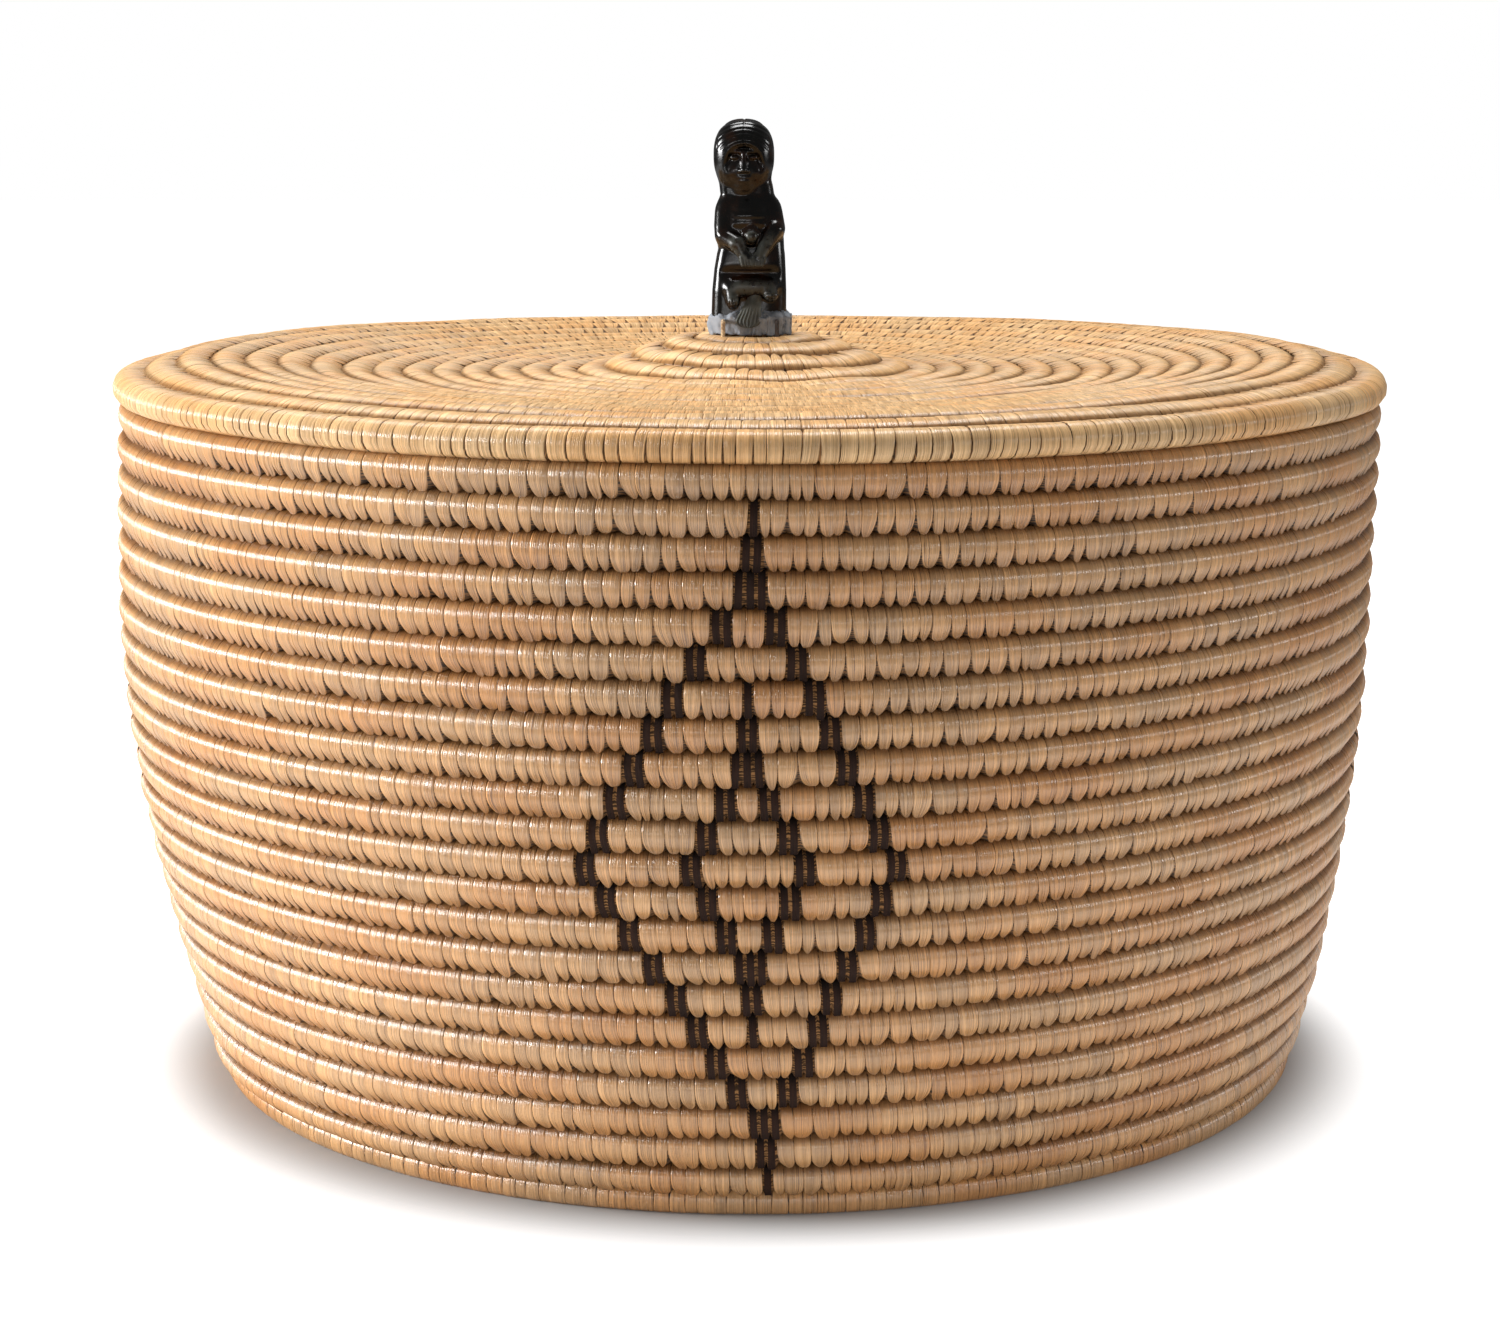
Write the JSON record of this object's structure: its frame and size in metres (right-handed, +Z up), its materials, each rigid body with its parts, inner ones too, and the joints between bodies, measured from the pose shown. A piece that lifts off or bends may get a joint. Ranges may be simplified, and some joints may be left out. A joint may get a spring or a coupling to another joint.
{
  "type": "lidded basket",
  "caption": "Round coiled grass basket with a flat foot, swelling wall and a lift-off coiled lid that carries a small carved stone figure as its handle.",
  "frame": {"origin": "on the ground at the middle of the basket's foot", "axes": "+Z up along the basket's axis, -Y towards the front that the figure faces, +X to the figure's viewer's right"},
  "size_m": [0.3524, 0.351, 0.2643],
  "materials": {
    "grass_coil": "satin",
    "grass_coil_inside": "satin",
    "black_stone": "polished",
    "sinew": "satin"
  },
  "bodies": {
    "basket": {"wall_coil": "grass_coil", "base_coil": "grass_coil_inside"},
    "lid": {"lid_coil": "grass_coil", "lid_start_button": "grass_coil", "lid_flange_coil": "grass_coil_inside", "finial_figure": "black_stone", "sinew_tie_left": "sinew", "sinew_tie_right": "sinew", "sinew_knot_left": "sinew", "sinew_knot_right": "sinew"}
  },
  "joints": [
    {"name": "lid_lift", "type": "slide", "parent": "basket", "child": "lid", "axis": [0, 0, 1], "range_m": [0, 0.12]}
  ]
}
